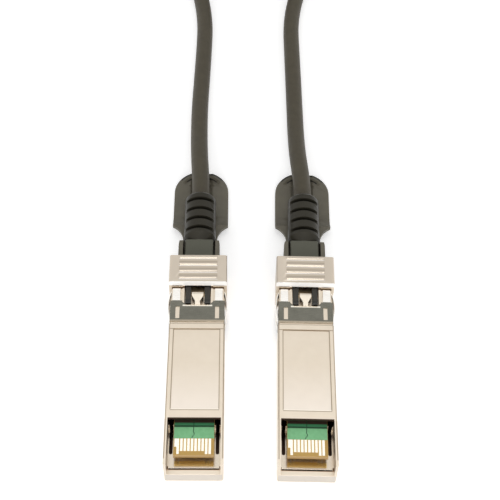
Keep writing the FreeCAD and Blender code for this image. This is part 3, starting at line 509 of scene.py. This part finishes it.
# %% Dress the nodes that keep their own shape
DRESS = {"circuit_board": LAMINATE, "upper_contacts": GOLD, "lower_contacts": GOLD,
         "memory_chip": CHIP, "capacitors": CERAMIC, "case_screws": SCREW,
         "crimp_ferrule": FERRULE, "signal_wires": WIRES, "return_springs": SPRING,
         "cover_shell": ZINC, "latch_shell": ZINC, "spring_collar": STEEL,
         "strain_relief": OVERMOULD, "release_slider": NYLON}


def dress(node, material):
    """Put one material in every slot of a CAD node."""
    slots = bpy.data.objects[node].data.materials
    slots.clear()
    slots.append(material)


# %% Apply the finishes
for tag in SIDES:
    for node, material in DRESS.items():
        dress(f"{node}_{tag}", material)
for node in ("cable_run_a", "cable_run_b", "cable_coil"):
    dress(node, JACKET)


# %% [markdown]
# ## The cable
#
# The cable is one flexible thing from boot to boot, so it is one spline. Its points on the table
# are listed a little apart, and NURBS of order 3 passes smoothly between them.
# The rest of its length is wound like a stored cable: out to in on the table, then up and
# back out on top, each turn about a diameter from the next.

# %% The cable's route
CABLE = 4.7 * MM
LEFT_RUN = [(-13.53, 77.0, 5.6), (-13.75, 84.0, 5.45), (-14.45, 93.0, 4.5),
            (-14.85, 102.0, 3.1), (-15.05, 112.5, 2.45), (-14.8, 123.5, 2.4),
            (-14.55, 135.5, 2.45), (-14.45, 149.0, 2.4), (-16.6, 163.2, 2.45),
            (-21.2, 175.0, 2.4), (-26.9, 186.6, 2.45)]
RIGHT_RUN = [(13.53, 77.0, 5.6), (13.35, 84.0, 5.45), (12.55, 93.0, 4.5), (12.25, 102.0, 3.1),
             (12.15, 112.5, 2.45), (12.0, 123.5, 2.4), (11.8, 135.5, 2.45),
             (11.6, 149.5, 2.4), (13.9, 163.0, 2.75), (18.6, 174.6, 4.6), (23.9, 184.9, 6.4)]


def in_metres(points):
    """Route points in millimetres from the host end, as model coordinates in metres."""
    return [(x * MM, y * MM - MIDDLE, z * MM) for x, y, z in points]


# %% The wound turns
PER_TURN = 16
WHOLE_TURNS = 5
CLIMB = 60.0
TURN_GAP, LAYER_GAP = 0.97, 0.985


def coil_turns(centre, mean_radius, start, end):
    """Points of the wound turns: angle falls evenly, radius and height follow the layers.

    Over the lower half of the winding the radius goes from one turn outside the mean to one
    inside; over the upper half it comes back, one layer higher. The height is a logistic step
    in the middle of the winding. Both gaps are shares of the cable's diameter.
    """
    turning = start - end
    count = int(turning / math.tau * PER_TURN)
    points = []
    for index in range(1, count):
        share = index / count
        angle = start - turning * share
        layer = 1.0 / (1.0 + math.exp(-(share - 0.5) * CLIMB))
        sweep = abs(4.0 * share - 2.0) - 1.0
        radius = mean_radius + CABLE * sweep * TURN_GAP
        height = CABLE * (0.5 + LAYER_GAP * layer)
        points.append((centre[0] + radius * math.cos(angle),
                       centre[1] + radius * math.sin(angle), height))
    return points


def cable_points():
    """The left run, the wound turns and the right run, as one list from boot to boot.

    Three turns lie side by side, so their middle is 1.5 diameters inside the coil's box.
    """
    low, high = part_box("cable_coil")
    centre = ((low[0] + high[0]) / 2, (low[1] + high[1]) / 2)
    mean_radius = (high[0] - low[0]) / 2 - 1.5 * CABLE
    left, right = in_metres(LEFT_RUN), in_metres(RIGHT_RUN)
    start = math.atan2(left[-1][1] - centre[1], left[-1][0] - centre[0]) + math.tau
    end = math.atan2(right[-1][1] - centre[1], right[-1][0] - centre[0])
    end -= WHOLE_TURNS * math.tau
    return left + coil_turns(centre, mean_radius, start, end) + right[::-1]


# %% Draw the cable
ROUND_STEPS = 6


def tube_curve(name, points, diameter, material):
    """A round tube along one open NURBS spline through the neighbourhood of the points."""
    curve = bpy.data.curves.new(name, "CURVE")
    curve.dimensions = "3D"
    curve.bevel_depth = diameter / 2
    curve.bevel_resolution = ROUND_STEPS
    curve.use_fill_caps = True
    curve.resolution_u = ROUND_STEPS
    spline = curve.splines.new("NURBS")
    spline.points.add(len(points) - 1)
    spline.points.foreach_set("co", np.ravel([(*point, 1.0) for point in points]))
    spline.use_endpoint_u = True
    spline.order_u = 3
    curve.materials.append(material)
    piece = bpy.data.objects.new(name, curve)
    bpy.context.scene.collection.objects.link(piece)
    return piece


# %% Measure the cable
def spline_length(piece):
    """Length of the drawn centre line, added up over its short steps."""
    bare = piece.copy()
    bare.data = piece.data.copy()
    bare.data.bevel_depth = 0.0
    bpy.context.scene.collection.objects.link(bare)
    mesh = bpy.data.meshes.new_from_object(bare.evaluated_get(
        bpy.context.evaluated_depsgraph_get()))
    places = np.empty(len(mesh.vertices) * 3)
    mesh.vertices.foreach_get("co", places)
    bpy.data.objects.remove(bare)
    steps = np.diff(places.reshape(-1, 3), axis=0)
    return float(np.linalg.norm(steps, axis=1).sum())


# %% The cable from boot to boot
route = cable_points()
cable = tube_curve("cable", route, CABLE, JACKET)
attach(cable, "plugs_and_cable")
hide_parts("cable_run_a", "cable_run_b", "cable_coil")
cable_length = spline_length(cable)
print(f"cable: {cable_length:.3f} m from boot to boot")


# %% [markdown]
# ## Rounded castings and mouldings
#
# No cast or moulded edge is truly sharp: it has a small radius that catches a line of light.
# The CAD shells have the shape but not those tiny radii. A copy of each node is merged into
# one skin, its flat faces are cleared of triangle edges, and a Bevel modifier rounds every
# edge that is left. The copy then stands for the node. Each entry below gives a new name, the
# edge radius in millimetres, the finish, its slot, and the crease angle in degrees.

# %% A merged copy of a node
WELD = 0.0005 * MM
FLAT = math.radians(1.0)


def merged_copy(node, name, material, body, crease):
    """Copy a node, merge its triangles into whole faces, and let the copy stand for it.

    Edges below the crease angle are shaded smoothly, as parts of one curved face.
    """
    mesh = bpy.data.objects[node].data.copy()
    mesh.name = name
    skin = bmesh.new()
    skin.from_mesh(mesh)
    bmesh.ops.remove_doubles(skin, verts=skin.verts, dist=WELD)
    bmesh.ops.dissolve_limit(skin, angle_limit=FLAT, verts=skin.verts, edges=skin.edges,
                             delimit={"NORMAL"})
    skin.to_mesh(mesh)
    skin.free()
    mesh.materials.clear()
    mesh.materials.append(material)
    mesh.shade_smooth()
    mesh.set_sharp_from_angle(angle=math.radians(crease))
    piece = bpy.data.objects.new(name, mesh)
    bpy.context.scene.collection.objects.link(piece)
    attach(piece, body)
    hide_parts(node)
    return piece


# %% A rounded copy of a node
ROUNDED_ANGLE = math.radians(32)


def rounded(node, name, radius_mm, material, body, crease):
    """A merged copy whose edges are rounded by radius_mm."""
    piece = merged_copy(node, name, material, body, crease)
    edge = piece.modifiers.new("edge radius", "BEVEL")
    edge.width = radius_mm * MM
    edge.segments = 2
    edge.limit_method = "ANGLE"
    edge.angle_limit = ROUNDED_ANGLE
    edge.harden_normals = True
    edge.use_clamp_overlap = True
    return piece


# %% Round the shells and mouldings
ROUNDED = {"cover_shell": ("cover_casting", 0.12, ZINC, "plated_zinc", 12),
           "latch_shell": ("latch_casting", 0.12, ZINC, "plated_zinc", 12),
           "spring_collar": ("collar_strip", 0.05, STEEL, "collar_steel", 20),
           "strain_relief": ("boot_moulding", 0.18, OVERMOULD, "black_overmould", 30),
           "release_slider": ("slider_moulding", 0.16, NYLON, "black_nylon", 30)}
for tag in SIDES:
    for node, (name, radius, material, slot, crease) in ROUNDED.items():
        body = f"slider_{tag}" if node == "release_slider" else "plugs_and_cable"
        piece = rounded(f"{node}_{tag}", f"{name}_{tag}", radius, material, body, crease)
        print(piece.name, len(piece.data.polygons), "faces")


# %% [markdown]
# ## Leaf springs
#
# Two waved leaf springs stand between the pull tab's bridge and the boot's block, inside the
# hood. When the tab is pulled they are pressed together, and their rear ends stay put. Each is a
# merged copy of its node with a mesh of its own.

# %% Leaf springs between the bridge and the block
SPRING_CREASE = 20
for tag, side in SIDES.items():
    leaf = merged_copy(f"return_springs_{tag}", f"spring_leaves_{tag}", SPRING,
                       "plugs_and_cable", SPRING_CREASE)
    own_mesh(leaf)


# %% [markdown]
# ## Solder mask and a printed trace
#
# Solder mask is a film 0.02 mm thick over the card, from the contacts rearwards. In the mouth
# it's light green; under the lid painted shade darkens it. A dark printed line runs from the
# contacts towards the parts inside. Both are thin flat shapes just above the card.

# %% Flat shapes on the card
def flat_shape(name, tag, rows, height_mm, material):
    """A strip through rows of (left, right, along) millimetres, at one height above the table."""
    left = [(row[0], row[2], height_mm) for row in rows]
    right = [(row[1], row[2], height_mm) for row in rows]
    count = len(rows)
    faces = [(i, count + i, count + i + 1, i + 1) for i in range(count - 1)]
    mesh = bpy.data.meshes.new(name)
    mesh.from_pydata(in_plug(tag, left + right).tolist(), [], faces)
    mesh.materials.append(material)
    piece = bpy.data.objects.new(name, mesh)
    bpy.context.scene.collection.objects.link(piece)
    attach(piece, "plugs_and_cable")
    return piece


# %% Lay the mask and the line
TRACE = moulded("printed_trace", (0.012, 0.05, 0.02), 0.45, 0.1, 0.003)
MASK_HALF, MASK_FRONT, MASK_REAR = 4.55, 7.5, 38.0
FILM = 0.02
LINE_HALF = 0.09
LINE_POINTS = [(-0.50, 7.6), (-0.34, 8.0), (-0.02, 8.4), (0.02, 8.75), (-0.20, 9.2),
               (-0.14, 9.7), (-0.12, 10.3), (-0.10, 11.5), (-0.10, 13.0)]
for tag in SIDES:
    mask = [(-MASK_HALF, MASK_HALF, along) for along in (MASK_FRONT, MASK_REAR)]
    flat_shape(f"solder_mask_{tag}", tag, mask, CARD_TOP + FILM, MASK)
    line = [(across - LINE_HALF, across + LINE_HALF, along) for across, along in LINE_POINTS]
    flat_shape(f"printed_trace_{tag}", tag, line, CARD_TOP + 2 * FILM, TRACE)


# %% [markdown]
# ## Studio
#
# The light is plain and soft: a strong panel in front, weaker ones above and on each side, and
# a pale world all round. The world and the floor are at their whitest only to the camera and in
# reflections, so white surroundings don't flood the object with light.

# %% Light that the camera sees
SKY_LIGHT, SKY_SEEN = 0.45, 1.0
FLOOR_GLOW = 0.42
FLOOR_HALF = 3.0


def white_to_eyes(tree, strength_else, strength_eyes):
    """A strength that differs between rays that are seen and rays that only light.

    It is strength_else plus the difference, times 1 for camera, mirror and glass rays.
    """
    path = tree.nodes.new("ShaderNodeLightPath").outputs
    seen = maths(tree, "MAXIMUM", path["Is Camera Ray"], path["Is Glossy Ray"])
    seen = maths(tree, "MAXIMUM", seen, path["Is Transmission Ray"])
    return maths(tree, "MULTIPLY_ADD", seen, strength_eyes - strength_else, strength_else)


# %% The world
scene = bpy.context.scene
world = bpy.data.worlds.new("studio")
scene.world = world
world.use_nodes = True
sky = world.node_tree.nodes["Background"]
sky.inputs["Color"].default_value = (1.0, 1.0, 1.0, 1.0)
world.node_tree.links.new(white_to_eyes(world.node_tree, SKY_LIGHT, SKY_SEEN),
                          sky.inputs["Strength"])

# %% The floor
floor_mesh = bpy.data.meshes.new("floor")
floor_mesh.from_pydata([(-FLOOR_HALF, -FLOOR_HALF, 0.0), (FLOOR_HALF, -FLOOR_HALF, 0.0),
                        (FLOOR_HALF, FLOOR_HALF, 0.0), (-FLOOR_HALF, FLOOR_HALF, 0.0)],
                       [], [(0, 1, 2, 3)])
floor = bpy.data.objects.new("floor", floor_mesh)
scene.collection.objects.link(floor)
paper, paper_tree, paper_shader = finish("paper", (0.86, 0.86, 0.86), 0.9)
paper_shader.inputs["Emission Color"].default_value = (1.0, 1.0, 1.0, 1.0)
paper_tree.links.new(white_to_eyes(paper_tree, 0.0, FLOOR_GLOW),
                     paper_shader.inputs["Emission Strength"])
floor_mesh.materials.append(paper)


# %% Lamps
def panel(name, place, size, watts):
    """A square soft light at a place in metres, turned towards the model's origin."""
    light = bpy.data.lights.new(name, "AREA")
    light.size = size
    light.energy = watts
    lamp = bpy.data.objects.new(name, light)
    lamp.location = place
    lamp.rotation_euler = (math.atan2(math.hypot(place[0], place[1]), place[2]), 0.0,
                           math.atan2(place[1], place[0]) + math.pi / 2)
    scene.collection.objects.link(lamp)


PANELS = {"top_panel": ((0.0, -0.03, 0.80), 0.40, 0.9),
          "front_panel": ((0.0, -0.75, 0.28), 0.45, 3.6),
          "left_panel": ((-0.5, 0.05, 0.35), 0.35, 0.6),
          "right_panel": ((0.5, 0.05, 0.35), 0.35, 0.6)}
for name, (place, size, watts) in PANELS.items():
    panel(name, place, size, watts)
print(len(PANELS), "panels")


# %% [markdown]
# ## Camera
#
# A camera's place and direction are three angles and a point. Pitch and azimuth turn the view
# down and sideways, roll tips the frame, and the focal length sets how strongly the far ends
# of the plugs shrink.

# %% Place the camera
EYE = (-3.307 * MM, -97.412 * MM - MIDDLE, 224.888 * MM)
PITCH, AZIMUTH, ROLL = 0.9462, 0.0182, 0.0287
FOCAL_LENGTH = 76.05


def look(place, pitch, azimuth, roll, lens):
    """Build the camera's axes from its angles, in radians, and set them as a matrix."""
    ahead = np.array([math.sin(azimuth) * math.cos(pitch), math.cos(azimuth) * math.cos(pitch),
                      -math.sin(pitch)])
    level = np.array([math.cos(azimuth), -math.sin(azimuth), 0.0])
    upright = np.cross(level, ahead)
    right = level * math.cos(roll) + upright * math.sin(roll)
    up = upright * math.cos(roll) - level * math.sin(roll)
    data = bpy.data.cameras.new("camera")
    data.lens = lens
    data.clip_start = 0.01
    data.clip_end = 20.0
    camera = bpy.data.objects.new("camera", data)
    matrix = np.eye(4)
    matrix[:3, 0], matrix[:3, 1], matrix[:3, 2], matrix[:3, 3] = right, up, -ahead, place
    camera.matrix_world = Matrix(matrix.tolist())
    scene.collection.objects.link(camera)
    scene.camera = camera


look(EYE, PITCH, AZIMUTH, ROLL, FOCAL_LENGTH)
scene.view_settings.view_transform = "Standard"

# %% Update the view layer
bpy.context.view_layer.update()
